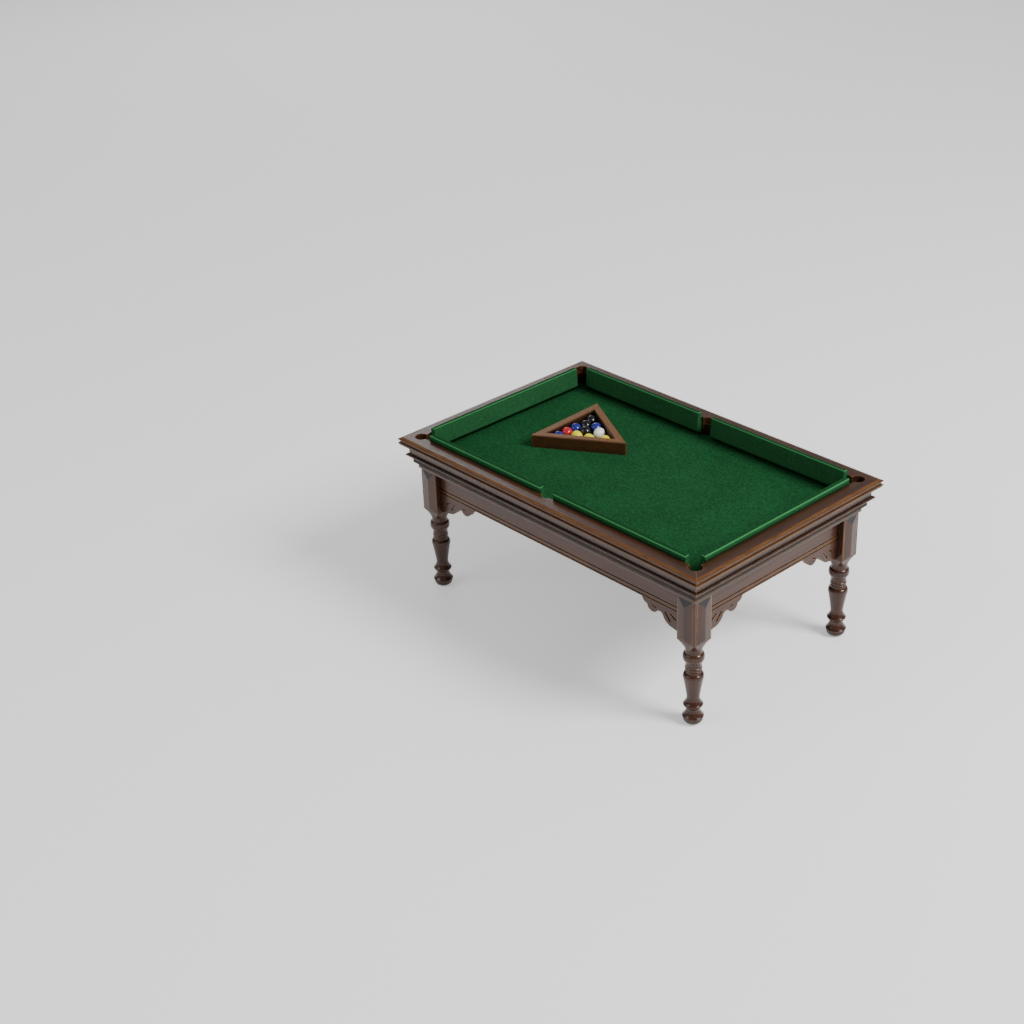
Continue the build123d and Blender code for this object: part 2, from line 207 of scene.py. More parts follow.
class Effect:
    """A shader node group, built once and placed in each material that uses it."""

    def __init__(self, name: str, inputs: dict[str, object], outputs: dict[str, str]) -> None:
        """Opens an empty group.

        Args:
            name: the group's name.
            inputs: each input's name with its first value, a float or a tuple.
            outputs: each output's name with its socket type.
        """
        self.group = bpy.data.node_groups.new(name, "ShaderNodeTree")
        for label, value in inputs.items():
            kind = "NodeSocketVector" if isinstance(value, tuple) else "NodeSocketFloat"
            made = self.group.interface.new_socket(name=label, in_out="INPUT", socket_type=kind)
            made.default_value = value
        for label, kind in outputs.items():
            self.group.interface.new_socket(name=label, in_out="OUTPUT", socket_type=kind)
        self.wiring = Wiring(self.group)
        self.given = self.wiring.node("NodeGroupInput").outputs
        self.result = self.wiring.node("NodeGroupOutput").inputs

    def place(self, wiring: Wiring, **values: object) -> bpy.types.NodeOutputs:
        """Puts the group into a material.

        Args:
            wiring: the material's wiring.
            values: inputs by name, with underscores for spaces.

        Returns:
            The placed group's outputs.
        """
        made = wiring.node("ShaderNodeGroup", node_tree=self.group)
        for label, value in values.items():
            wiring.feed(made.inputs[label.replace("_", " ")], value)
        return made.outputs


FLOAT = "NodeSocketFloat"


@dataclass(frozen=True)
class Effects:
    """The effects that several finishes share."""

    grain: Effect
    wear: Effect
    painted_shade: Effect
    nap: Effect
    tilt: Effect


def grain_effect() -> Effect:
    """Grain of close dark timber: broad figure, fine fibre and short open pores."""
    effect = Effect(
        "timber_grain",
        {"Vector": (0.0, 0.0, 0.0), "Stretch": (1.0, 1.0, 1.0), "Seed": 0.0},
        {"Figure": FLOAT, "Fibre": FLOAT, "Pores": FLOAT, "Height": FLOAT},
    )
    w, given = effect.wiring, effect.given
    per_mm = w.vector_math("MULTIPLY", given["Vector"], (1 / MM, 1 / MM, 1 / MM))
    drawn_out = w.vector_math("MULTIPLY", per_mm, given["Stretch"])
    shifted = w.vector_math("ADD", drawn_out, given["Seed"])
    broad = w.cloud(shifted, 0.3, 4.0)
    sway = w.vector_math("ADD", shifted, w.math("MULTIPLY", broad, 2.4))
    fibre = w.cloud(sway, 1.9, 6.0, 0.62)
    pores = w.remap(w.cloud(sway, 6.5, 2.0), (0.6, 0.7))
    w.feed(effect.result["Figure"], w.remap(broad, (0.3, 0.7)))
    w.feed(effect.result["Fibre"], w.remap(fibre, (0.3, 0.72)))
    w.feed(effect.result["Pores"], pores)
    raised = w.math("SUBTRACT", w.math("MULTIPLY", fibre, 0.6), w.math("MULTIPLY", pores, 0.5))
    w.feed(effect.result["Height"], raised)
    return effect


def wear_effect() -> Effect:
    """Rubbed arrises: 1 where the surface turns sharply, broken up as hands wear it."""
    effect = Effect(
        "rubbed_arrises",
        {"Vector": (0.0, 0.0, 0.0), "Width": 0.0005, "Patchiness": 0.5},
        {"Mask": FLOAT},
    )
    w, given = effect.wiring, effect.given
    rounded = w.node("ShaderNodeBevel", samples=8)
    w.feed(rounded.inputs["Radius"], given["Width"])
    facing = w.vector_math("DOT_PRODUCT", rounded.outputs["Normal"], w.surface_normal())
    edge = w.remap(facing, (0.995, 0.93))
    patches = w.remap(w.cloud(given["Vector"], 95.0, 5.0, 0.6), (0.34, 0.62))
    kept = w.math("SUBTRACT", 1.0, given["Patchiness"])
    broken = w.math("ADD", kept, w.math("MULTIPLY", patches, given["Patchiness"]))
    w.feed(effect.result["Mask"], w.math("MULTIPLY", edge, broken))
    return effect


def tilt_effect() -> Effect:
    """Faces whose slope lies in a band: Low and High say how far they look upward, 1 for flat."""
    effect = Effect(
        "tilted_faces",
        {"Low": 0.3, "High": 0.9, "Soft": 0.03},
        {"Mask": FLOAT},
    )
    w, given = effect.wiring, effect.given
    parts = w.node("ShaderNodeSeparateXYZ")
    w.feed(parts.inputs[0], w.node("ShaderNodeTexCoord").outputs["Normal"])
    upward = parts.outputs["Z"]
    above = w.remap(upward, (w.math("SUBTRACT", given["Low"], given["Soft"]), given["Low"]))
    below = w.remap(upward, (w.math("ADD", given["High"], given["Soft"]), given["High"]))
    w.feed(effect.result["Mask"], w.math("MULTIPLY", above, below))
    return effect


def painted_shade_effect() -> Effect:
    """Dark painted shade held in corners and hollows, whichever piece makes them."""
    effect = Effect("painted_shade_in_corners", {"Reach": 0.002}, {"Mask": FLOAT})
    w = effect.wiring
    # painted shade: the colour darkens where nearby surfaces close in, as under the sill's
    # overhang
    shade = w.node("ShaderNodeAmbientOcclusion", inside=False, only_local=False, samples=8)
    w.feed(shade.inputs["Distance"], effect.given["Reach"])
    w.feed(effect.result["Mask"], w.remap(shade.outputs["AO"], (0.78, 0.22)))
    return effect


def nap_effect() -> Effect:
    """Short nap of pressed felt, with a few specks of lint."""
    effect = Effect(
        "felt_nap",
        {"Vector": (0.0, 0.0, 0.0), "Lint": 1.0},
        {"Tone": FLOAT, "Height": FLOAT, "Lint": FLOAT},
    )
    w, given = effect.wiring, effect.given
    fine = w.cloud(given["Vector"], 2600.0, 3.0, 0.7)
    tufts = w.cloud(given["Vector"], 900.0, 4.0, 0.65)
    patches = w.cloud(given["Vector"], 40.0, 3.0)
    tone = w.math("ADD", w.math("MULTIPLY", fine, 0.42), w.math("MULTIPLY", tufts, 0.46))
    tone = w.math("ADD", tone, w.math("MULTIPLY", patches, 0.12))
    cells = w.node("ShaderNodeTexVoronoi", feature="F1", distance="EUCLIDEAN")
    w.feed(cells.inputs["Vector"], given["Vector"])
    w.feed(cells.inputs["Scale"], 62.0)
    speck = w.remap(cells.outputs["Distance"], (0.021, 0.012))
    channels = w.node("ShaderNodeSeparateColor")
    w.feed(channels.inputs[0], cells.outputs["Color"])
    chosen = w.math("GREATER_THAN", channels.outputs[0], 0.72)
    w.feed(effect.result["Tone"], w.remap(tone, (0.36, 0.64)))
    w.feed(effect.result["Height"], w.math("ADD", fine, tufts))
    kept = w.math("MULTIPLY", speck, chosen)
    w.feed(effect.result["Lint"], w.math("MULTIPLY", kept, given["Lint"]))
    return effect


class Finish:
    """What every finish shares: a fresh material with its shader and its object coordinates."""

    name: str

    def begin(self) -> tuple[bpy.types.Material, Wiring, bpy.types.Node, Socket]:
        """Opens the material.

        Returns:
            The material, its wiring, its Principled shader and its object coordinates.
        """
        material = bpy.data.materials.new(self.name)
        material.use_nodes = True
        shader = material.node_tree.nodes["Principled BSDF"]
        wiring = Wiring(material.node_tree)
        return material, wiring, shader, wiring.node("ShaderNodeTexCoord").outputs["Object"]


@dataclass(frozen=True)
class StainedWood(Finish):
    """Close-grained wood under dark stain and lacquer, with gold arrises where it is rubbed, and
    painted shade in its corners and hollows.
    """

    name: str
    run: Run
    seed: float = 0.0
    dark: Colour = linear(40, 21, 13)
    middle: Colour = linear(62, 34, 21)
    light: Colour = linear(86, 50, 30)
    rubbed: Colour = linear(148, 98, 36)
    # corner: the open pores' own dark colour, also used for painted shade in corners and hollows
    # and on the facings' top hips
    corner: Colour = linear(8, 5, 4)
    wear_width: float = 0.45 * MM
    wear_strength: float = 0.7
    wear_patchiness: float = 0.6
    # reach and strength of the painted shade in corners and hollows
    shade_reach: float = 6.0 * MM
    corner_shade_strength: float = 0.92
    strip: float = 0.0
    strip_band: Pair = (0.91, 0.965)
    hip_shade: float = 0.0
    relief: float = 0.25
    fibre: float = 0.5
    pores: float = 0.5
    specular: float = 0.35
    roughness: float = 0.36
    coat: float = 0.2
    coat_roughness: float = 0.14
    frequency: float = 1.0
    arris_radius: float = 0.16 * MM

    def material(self, effects: Effects) -> bpy.types.Material:
        """Builds the material.

        Args:
            effects: the shared effects.

        Returns:
            The finished material.
        """
        material, w, shader, place = self.begin()
        stretch = tuple(share * self.frequency for share in self.run.value)
        grain = effects.grain.place(w, Vector=place, Stretch=stretch, Seed=self.seed)
        stain = w.blend(grain["Figure"], self.dark, self.middle)
        stain = w.blend(w.math("MULTIPLY", grain["Fibre"], self.fibre), stain, self.light)
        stain = w.blend(w.math("MULTIPLY", grain["Pores"], self.pores), stain, self.corner)
        if self.strip:
            band = effects.tilt.place(w, Low=self.strip_band[0], High=self.strip_band[1])
            streaks = w.math("ADD", 0.35, w.math("MULTIPLY", grain["Fibre"], 0.65))
            share = w.math("MULTIPLY", w.math("MULTIPLY", band["Mask"], streaks), self.strip)
            stain = w.blend(share, stain, self.rubbed)
        if self.hip_shade:
            hips = effects.tilt.place(w, Low=0.12, High=0.4)
            stain = w.blend(w.math("MULTIPLY", hips["Mask"], self.hip_shade), stain, self.corner)
        rubbed = effects.wear.place(
            w, Vector=place, Width=self.wear_width, Patchiness=self.wear_patchiness
        )
        bare = w.math("MULTIPLY", rubbed["Mask"], self.wear_strength)
        stain = w.blend(bare, stain, self.rubbed)
        # painted shade: corners and hollows blend toward the corner colour
        corner_shade = effects.painted_shade.place(w, Reach=self.shade_reach)
        shade_share = w.math("MULTIPLY", corner_shade["Mask"], self.corner_shade_strength)
        w.feed(shader.inputs["Base Color"], w.blend(shade_share, stain, self.corner))
        spread = (self.roughness - 0.07, self.roughness + 0.1)
        w.feed(shader.inputs["Roughness"], w.remap(grain["Fibre"], (0.0, 1.0), spread))
        shader.inputs["Specular IOR Level"].default_value = self.specular
        shader.inputs["Coat Weight"].default_value = self.coat
        shader.inputs["Coat Roughness"].default_value = self.coat_roughness
        arris = w.node("ShaderNodeBevel", samples=4)
        arris.inputs["Radius"].default_value = self.arris_radius
        relief = w.node("ShaderNodeBump")
        relief.inputs["Strength"].default_value = self.relief
        relief.inputs["Distance"].default_value = 0.08 * MM
        w.feed(relief.inputs["Height"], grain["Height"])
        w.feed(relief.inputs["Normal"], arris.outputs["Normal"])
        w.feed(shader.inputs["Normal"], relief.outputs["Normal"])
        return material


@dataclass(frozen=True)
class Felt(Finish):
    """Green felt with a short nap, paler where it folds over an edge as a painted highlight, and
    darkened as painted shade on flat tops and in hollows where asked.
    """

    name: str
    deep: Colour = linear(14, 54, 28)
    raised: Colour = linear(33, 90, 51)
    # fold: a paler green painted as a highlight on sloped faces, also the sheen's tint
    edge_highlight: Colour = linear(44, 118, 70)
    shade: Colour = linear(7, 30, 15)
    lint_colour: Colour = linear(206, 214, 200)
    lint: float = 1.0
    edge_highlight_strength: float = 0.9
    # painted shade on flat, upward-facing tops, toward the shade colour
    top_shade_strength: float = 0.0
    # painted shade in hollows, toward the shade colour
    hollow_shade_strength: float = 0.0

    def material(self, effects: Effects) -> bpy.types.Material:
        """Builds the material.

        Args:
            effects: the shared effects.

        Returns:
            The finished material.
        """
        material, w, shader, place = self.begin()
        nap = effects.nap.place(w, Vector=place, Lint=self.lint)
        colour = w.blend(nap["Tone"], self.deep, self.raised)
        # painted shade: flat tops blend toward a darker green
        crown = effects.tilt.place(w, Low=0.95, High=1.0)
        shaded_top = w.blend(nap["Tone"], self.shade, self.deep)
        colour = w.blend(w.math("MULTIPLY", crown["Mask"], self.top_shade_strength), colour, shaded_top)
        # painted highlight: sloped faces, such as the cushions' ridge and nose, blend toward the
        # paler green
        folded = effects.tilt.place(w, Low=0.45, High=0.86, Soft=0.08)
        colour = w.blend(w.math("MULTIPLY", folded["Mask"], self.edge_highlight_strength), colour, self.edge_highlight)
        # painted shade: hollows, such as under the cushions' nose, blend toward the shade colour
        corner_shade = effects.painted_shade.place(w, Reach=4 * MM)
        shade_share = w.math("MULTIPLY", corner_shade["Mask"], self.hollow_shade_strength)
        colour = w.blend(shade_share, colour, self.shade)
        w.feed(shader.inputs["Base Color"], w.blend(nap["Lint"], colour, self.lint_colour))
        shader.inputs["Roughness"].default_value = 0.95
        shader.inputs["Specular IOR Level"].default_value = 0.05
        shader.inputs["Sheen Weight"].default_value = 0.04
        shader.inputs["Sheen Roughness"].default_value = 0.5
        shader.inputs["Sheen Tint"].default_value = (*self.edge_highlight, 1.0)
        relief = w.node("ShaderNodeBump")
        relief.inputs["Strength"].default_value = 0.5
        relief.inputs["Distance"].default_value = 0.12 * MM
        w.feed(relief.inputs["Height"], nap["Height"])
        w.feed(shader.inputs["Normal"], relief.outputs["Normal"])
        return material


@dataclass(frozen=True)
class Polished(Finish):
    """Polished ball enamel, with faint clouding and handling marks in its gloss, and painted shade
    where it nears other pieces.
    """

    name: str
    colour: Colour
    cloud: Colour
    roughness: float = 0.16

    def material(self, effects: Effects) -> bpy.types.Material:
        """Builds the material.

        Args:
            effects: the shared effects, of which the corner shade is used.

        Returns:
            The finished material.
        """
        material, w, shader, place = self.begin()
        colour = w.blend(w.remap(w.cloud(place, 700.0, 4.0), (0.35, 0.7)), self.colour, self.cloud)
        # painted shade: the enamel darkens where the ball nears the rack or other balls
        corner_shade = effects.painted_shade.place(w, Reach=2 * MM)
        shaded_enamel = tuple(part * 0.35 for part in self.colour)
        colour = w.blend(w.math("MULTIPLY", corner_shade["Mask"], 0.5), colour, shaded_enamel)
        w.feed(shader.inputs["Base Color"], colour)
        marks = w.remap(w.cloud(place, 2400.0, 3.0, 0.7), (0.5, 0.75))
        spread = (self.roughness, self.roughness + 0.14)
        w.feed(shader.inputs["Roughness"], w.remap(marks, (0.0, 1.0), spread))
        shader.inputs["Specular IOR Level"].default_value = 0.35
        shader.inputs["Coat Weight"].default_value = 0.35
        shader.inputs["Coat Roughness"].default_value = 0.06
        return material


def dress(node: str, material: bpy.types.Material) -> None:
    """Gives a CAD node its finish in place of the plain one.

    Args:
        node: the node's name.
        material: its new material.
    """
    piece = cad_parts[node]
    piece.data.materials.clear()
    piece.data.materials.append(material)


def new_piece(
    name: str, mesh: bmesh.types.BMesh, material: bpy.types.Material
) -> bpy.types.Object:
    """Turns a bmesh into a smooth-shaded object.

    Args:
        name: the piece's name.
        mesh: its geometry, freed here.
        material: its finish.

    Returns:
        The new object, linked to the scene.
    """
    data = bpy.data.meshes.new(name)
    mesh.to_mesh(data)
    mesh.free()
    for face in data.polygons:
        face.use_smooth = True
    data.materials.append(material)
    piece = bpy.data.objects.new(name, data)
    bpy.context.scene.collection.objects.link(piece)
    return piece


def rounded_path(corners: list[tuple[float, float, float]], steps: int = 5) -> list[Pair]:
    """Open line through corners, each rounded to its own radius.

    Args:
        corners: (across, height, radius) of each corner; the ends' radii are not used.
        steps: points on each round, less one.

    Returns:
        The line's points.
    """
    line = [corners[0][:2]]
    for before, here, after in zip(corners, corners[1:], corners[2:]):
        at = Vector(here[:2])
        back = (Vector(before[:2]) - at).normalized()
        ahead = (Vector(after[:2]) - at).normalized()
        half = back.angle(ahead) / 2
        reach = here[2] / math.tan(half)
        centre = at + (back + ahead).normalized() * (here[2] / math.sin(half))
        first = at + back * reach - centre
        swing = first.angle_signed(at + ahead * reach - centre)
        for step in range(steps + 1):
            turned = first.copy()
            turned.rotate(Matrix.Rotation(-swing * step / steps, 2))
            line.append(tuple(centre + turned))
    line.append(corners[-1][:2])
    return line


def spaced(start: float, end: float, step: float) -> list[float]:
    """Evenly spread places from start to end, both kept, about a step apart."""
    count = max(1, round(abs(end - start) / step))
    return [start + (end - start) * index / count for index in range(count + 1)]


@dataclass
class CushionCover:
    """Felt stretched over one cushion's wooden core, folded shut over its two ends."""

    name: str
    side: Side
    thickness: float = 0.45 * MM
    back_drop: float = 0.35 * MM
    back_round: float = 0.8 * MM
    ridge_width: float = 2.55 * MM
    ridge_round: float = 0.6 * MM
    nose_height: float = 3.05 * MM
    nose_round: float = 0.7 * MM
    foot_reach: float = 0.8 * MM
    tuck_depth: float = 3.5 * MM
    end_round: float = 0.5 * MM
    end_steps: int = 5
    flap_shares: tuple[float, ...] = (0.02, 0.35, 0.7, 0.92)
    station_step: float = 2.2 * MM
    unevenness: float = 0.07 * MM
    end_fold: float = 4 * MM
    low: Vector = field(init=False)
    high: Vector = field(init=False)

    def __post_init__(self) -> None:
        """Reads the space that the cover fills."""
        self.low, self.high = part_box(f"cushion_felt_{self.name}")

    @property
    def run(self) -> Pair:
        """Where the cover starts and ends along its rail."""
        axis = 0 if self.side.along_x else 1
        return self.low[axis], self.high[axis]

    @property
    def nose_reach(self) -> float:
        """How far the nose stands from the rail's wall."""
        axis = 1 if self.side.along_x else 0
        return self.high[axis] - self.low[axis]

    def section(self) -> list[Pair]:
        """Outline of the felt's outside, from the tuck behind to the foot on the bed."""
        foot, top = self.low.z, self.high.z
        return rounded_path(
            [
                (0.0, top - self.tuck_depth, 0.0),
                (0.0, top - self.back_drop, self.back_round),
                (self.ridge_width, top, self.ridge_round),
                (self.nose_reach, foot + self.nose_height, self.nose_round),
                (self.foot_reach, foot, 0.0),
            ]
        )

    def place(self, across: float, height: float, along: float) -> Vector:
        """Point of the cover in the table's frame.

        Args:
            across: distance in from the rail's wall.
            height: height above the floor.
            along: place along the rail.

        Returns:
            The point.
        """
        if self.side.along_x:
            y = self.low.y + across if self.side is Side.FRONT else self.high.y - across
            return Vector((along, y, height))
        x = self.low.x + across if self.side is Side.LEFT else self.high.x - across
        return Vector((x, along, height))

    def wrinkled(self, point: Vector, inward: Vector) -> Vector:
        """The point, moved a little as hand-stretched felt lies uneven."""
        coarse = noise.noise(point / (5.5 * MM))
        fine = noise.noise(point / (1.6 * MM) + Vector((7.0, 3.0, 1.0)))
        return point + inward * self.unevenness * (coarse + 0.35 * fine)

    def rings(self) -> list[list[Vector]]:
        """Cross-lines of the cover, from the middle of one end to the middle of the other."""
        outline = self.section()
        normals = []
        for index in range(len(outline)):
            before = Vector(outline[max(index - 1, 0)])
            after = Vector(outline[min(index + 1, len(outline) - 1)])
            heading = (after - before).normalized()
            normals.append(Vector((heading.y, -heading.x)))
        start, end = self.run
        turns = spaced(0.0, math.pi / 2, math.pi / 2 / self.end_steps)
        opening = [
            (self.end_round * (1 - math.cos(turn)), self.end_round * (1 - math.sin(turn)))
            for turn in turns
        ]
        stations = [(start + step_in, inset) for step_in, inset in opening]
        middle = spaced(start + self.end_round, end - self.end_round, self.station_step)
        stations += [(along, 0.0) for along in middle[1:-1]]
        stations += [(end - step_in, inset) for step_in, inset in reversed(opening)]
        made = []
        for along, inset in stations:
            line = []
            for (across, height), normal in zip(outline, normals):
                point = self.place(across + normal.x * inset, height + normal.y * inset, along)
                inward = self.place(across + normal.x, height + normal.y, along) - self.place(
                    across, height, along
                )
                line.append(self.wrinkled(point, inward))
            made.append(line)
        corner = (0.0, self.low.z)
        for ring, at_front in ((made[0], True), (made[-1], False)):
            anchor = self.place(*corner, start if at_front else end)
            flap = [[anchor.lerp(point, share) for point in ring] for share in self.flap_shares]
            made = flap + made if at_front else made + flap[::-1]
        return made

    def build(self, material: bpy.types.Material) -> bpy.types.Object:
        """Builds the cover.

        Args:
            material: its felt.

        Returns:
            The cover, riding on the table.
        """
        mesh = bmesh.new()
        lines = [[mesh.verts.new(point) for point in ring] for ring in self.rings()]
        for first, second in zip(lines, lines[1:]):
            for index in range(len(first) - 1):
                mesh.faces.new((first[index], first[index + 1], second[index + 1], second[index]))
        mesh.normal_update()
        crown = max(mesh.faces, key=lambda face: face.calc_center_median().z)
        if crown.normal.z < 0:
            bmesh.ops.reverse_faces(mesh, faces=mesh.faces)
        piece = new_piece(f"cover_{self.name}", mesh, material)
        skin = piece.modifiers.new("felt_thickness", "SOLIDIFY")
        skin.thickness = self.thickness
        skin.offset = -1.0
        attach(piece, "table")
        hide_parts(f"cushion_felt_{self.name}")
        outline = self.section()
        return piece


@dataclass
class BedCloth:
    """Felt glued flat on the bed board, cut round into the six pockets."""

    pocket_radius: float = 3.2 * MM
    side_pocket_x: float = -1.5 * MM
    side_pocket_y: float = 54.2 * MM
    grid: float = 4 * MM
    unevenness: float = 0.05 * MM
    rim_round: float = 0.15 * MM
    arc_steps: int = 20

    def outline(self, half_x: float, half_y: float) -> list[Pair]:
        """Edge of the cloth, anticlockwise from the front left pocket.

        Args:
            half_x: half the cloth's length between its straight short edges.
            half_y: half the cloth's width between its straight long edges.

        Returns:
            The edge's points.
        """
        low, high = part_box("bed_felt")
        centre_x, centre_y = high.x - self.pocket_radius, high.y - self.pocket_radius
        side_half = math.sqrt(self.pocket_radius**2 - (half_y - self.side_pocket_y) ** 2)
        lean = math.acos(side_half / self.pocket_radius)
        corner_swing = math.asin((half_x - centre_x) / self.pocket_radius)

        def arc(x: float, y: float, first: float, last: float) -> list[Pair]:
            """Points round a pocket, between two angles."""
            spread = spaced(first, last, (last - first) / self.arc_steps)
            return [
                (x + self.pocket_radius * math.cos(a), y + self.pocket_radius * math.sin(a))
                for a in spread
            ]

        quarter = math.pi / 2
        return [
            *arc(-centre_x, -centre_y, quarter - corner_swing, 4 * quarter + corner_swing),
            *arc(self.side_pocket_x, -self.side_pocket_y, 2 * quarter + lean, 4 * quarter - lean),
            *arc(centre_x, -centre_y, 2 * quarter - corner_swing, 5 * quarter + corner_swing),
            *arc(centre_x, centre_y, -quarter - corner_swing, 2 * quarter + corner_swing),
            *arc(self.side_pocket_x, self.side_pocket_y, lean, 2 * quarter - lean),
            *arc(-centre_x, centre_y, -corner_swing, 3 * quarter + corner_swing),
        ]

    def build(self, material: bpy.types.Material) -> bpy.types.Object:
        """Builds the cloth.

        Args:
            material: its felt.

        Returns:
            The cloth, riding on the table.
        """
        low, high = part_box("bed_felt")
        reach = self.pocket_radius + 0.1 * MM
        half_x, half_y = high.x - reach, high.y - reach
        mesh = bmesh.new()
        edge = [mesh.verts.new((x, y, low.z)) for x, y in self.outline(half_x, half_y)]
        mesh.faces.new(edge)
        for axis, half in ((0, half_x), (1, half_y)):
            for place in spaced(-half, half, self.grid)[1:-1]:
                origin, normal = [0.0, 0.0, 0.0], [0.0, 0.0, 0.0]
                origin[axis], normal[axis] = place, 1.0
                everything = [*mesh.verts, *mesh.edges, *mesh.faces]
                bmesh.ops.bisect_plane(mesh, geom=everything, plane_co=origin, plane_no=normal)
        top = bmesh.ops.extrude_face_region(mesh, geom=mesh.faces[:])
        for vertex in (part for part in top["geom"] if isinstance(part, bmesh.types.BMVert)):
            swell = noise.noise(vertex.co / (9 * MM)) * self.unevenness
            vertex.co.z = high.z + swell
        bmesh.ops.recalc_face_normals(mesh, faces=mesh.faces)
        piece = new_piece("bed_cloth", mesh, material)
        rim = piece.modifiers.new("cut_rim", "BEVEL")
        rim.width = self.rim_round
        rim.segments = 2
        rim.limit_method = "ANGLE"
        rim.angle_limit = math.radians(60)
        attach(piece, "table")
        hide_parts("bed_felt")
        log.info("bed_cloth: felt %.1f x %.1f mm", 2 * half_x / MM, 2 * half_y / MM)
        return piece


@dataclass
class Frame:
    """The mitred rails and mouldings round the bed."""

    seeds: dict[Side, float] = field(
        default_factory=lambda: {
            Side.FRONT: 3.0,
            Side.BACK: 11.0,
            Side.LEFT: 19.0,
            Side.RIGHT: 27.0,
        }
    )

    def dress(self, effects: Effects) -> None:
        """Gives each moulding its wood.

        Args:
            effects: the shared effects.
        """
        for side, seed in self.seeds.items():
            word = side.name.lower()
            rail = StainedWood(f"rail_wood_{word}", side.grain, seed, strip=0.42).material(effects)
            cove = StainedWood(
                f"cove_wood_{word}",
                side.grain,
                seed + 4,
                dark=linear(32, 18, 13),
                middle=linear(48, 28, 20),
                light=linear(66, 40, 28),
                roughness=0.27,
                coat=0.35,
            ).material(effects)
            dress(f"rail_{word}", rail)
            dress(f"cove_moulding_{word}", cove)
            dress(f"apron_bead_{word}", cove)
            log.info("frame mouldings, %s", word)


@dataclass
class Understructure:
    """Legs, facings, aprons and the bed board."""

    apron_seed: float = 60.0
    leg_seed: float = 41.0
    board_seed: float = 77.0

    def dress(self, effects: Effects) -> None:
        """Gives each piece its wood.

        Args:
            effects: the shared effects.
        """
        for side in Side:
            word = side.name.lower()
            seed = self.apron_seed + 7 * side.value[0] + 3 * side.value[1]
            apron = StainedWood(f"apron_wood_{word}", side.grain, seed).material(effects)
            dress(f"apron_{word}", apron)
        for index, corner in enumerate(("front_left", "front_right", "back_left", "back_right")):
            seed = self.leg_seed + 5 * index
            leg = StainedWood(
                f"leg_wood_{corner}",
                Run.UPRIGHT,
                seed,
                wear_strength=0.45,
                fibre=0.3,
                pores=0.15,
                relief=0.03,
                specular=0.25,
                roughness=0.22,
                coat=0.3,
            )
            facing = StainedWood(
                f"facing_wood_{corner}",
                Run.UPRIGHT,
                seed + 2,
                wear_strength=0.5,
                wear_patchiness=0.85,
                hip_shade=1.0,
                fibre=0.4,
                pores=0.3,
            )
            dress(f"leg_{corner}", leg.material(effects))
            panel = facing.material(effects)
            dress(f"facing_{corner}_long_side", panel)
            dress(f"facing_{corner}_short_side", panel)
            log.info("leg and facings, %s", corner)
        # Near-black wood for the bed board and the dowels: painted shade, the board's edge under
        # the sill standing in for the dark shadow line there.
        plain = StainedWood(
            "board_wood",
            Run.ALONG_X,
            self.board_seed,
            middle=linear(12, 7, 5),
            light=linear(24, 14, 10),
            roughness=0.6,
            coat=0.0,
        ).material(effects)
        dress("bed_board", plain)
        dress("leg_dowels", plain)


@dataclass
class Cushions:
    """The six felt-covered cushions."""

    core_seed: float = 5.0
    sides: dict[str, Side] = field(
        default_factory=lambda: {
            "front_left": Side.FRONT,
            "front_right": Side.FRONT,
            "back_left": Side.BACK,
            "back_right": Side.BACK,
            "left": Side.LEFT,
            "right": Side.RIGHT,
        }
    )

    def build(self, effects: Effects) -> None:
        """Builds each cover and dresses its core.

        Args:
            effects: the shared effects.
        """
        # A paler copy of the bed's felt: painted light, brightening the cushions' upright faces
        # that the lamps light less; flat tops get painted shade and hollows a little.
        felt = Felt(
            "cushion_felt_painted_light",
            deep=linear(27, 72, 41),
            raised=linear(42, 94, 57),
            edge_highlight=linear(60, 134, 78),
            shade=linear(10, 38, 20),
            lint=0.4,
            top_shade_strength=0.85,
            hollow_shade_strength=0.12,
        ).material(effects)
        wood = StainedWood("core_wood", Run.ALONG_X, self.core_seed, roughness=0.6, coat=0.0)
        core = wood.material(effects)
        for name, side in self.sides.items():
            dress(f"cushion_core_{name}", core)
            CushionCover(name, side).build(felt)


@dataclass
class Rack:
    """The loose triangular rack."""

    def dress(self, effects: Effects) -> None:
        """Gives each bar its redder wood, with the grain along the bar as near as an axis allows.

        Args:
            effects: the shared effects.
        """
        for index, (bar, run) in enumerate(
            (("front", Run.ALONG_X), ("right", Run.ALONG_X), ("left", Run.ALONG_Y))
        ):
            finish = StainedWood(
                f"rack_wood_{bar}",
                run,
                90.0 + 6 * index,
                dark=linear(46, 25, 10),
                middle=linear(66, 38, 15),
                light=linear(94, 58, 22),
                rubbed=linear(140, 92, 38),
                strip=0.6,
                strip_band=(0.9, 1.0),
                roughness=0.5,
                coat=0.05,
                frequency=1.5,
            )
            dress(f"rack_bar_{bar}", finish.material(effects))
        log.info("rack")


@dataclass
class Balls:
    """The loose balls, by colour."""

    enamels: dict[str, tuple[Colour, Colour]] = field(
        default_factory=lambda: {
            "black": (linear(8, 8, 10), linear(20, 20, 22)),
            "blue": (linear(22, 28, 110), linear(40, 48, 140)),
            "red": (linear(176, 20, 36), linear(196, 40, 52)),
            "yellow": (linear(238, 222, 0), linear(232, 214, 0)),
            "white": (linear(252, 252, 250), linear(244, 244, 240)),
        }
    )

    def dress(self, effects: Effects) -> None:
        """Gives each ball its enamel.

        Args:
            effects: the shared effects.
        """
        made = {
            colour: Polished(f"{colour}_enamel", *tones).material(effects)
            for colour, tones in self.enamels.items()
        }
        balls = [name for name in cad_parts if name.startswith("ball_")]
        for name in sorted(balls):
            dress(name, made[name.split("_")[1]])
        log.info("%d balls", len(balls))


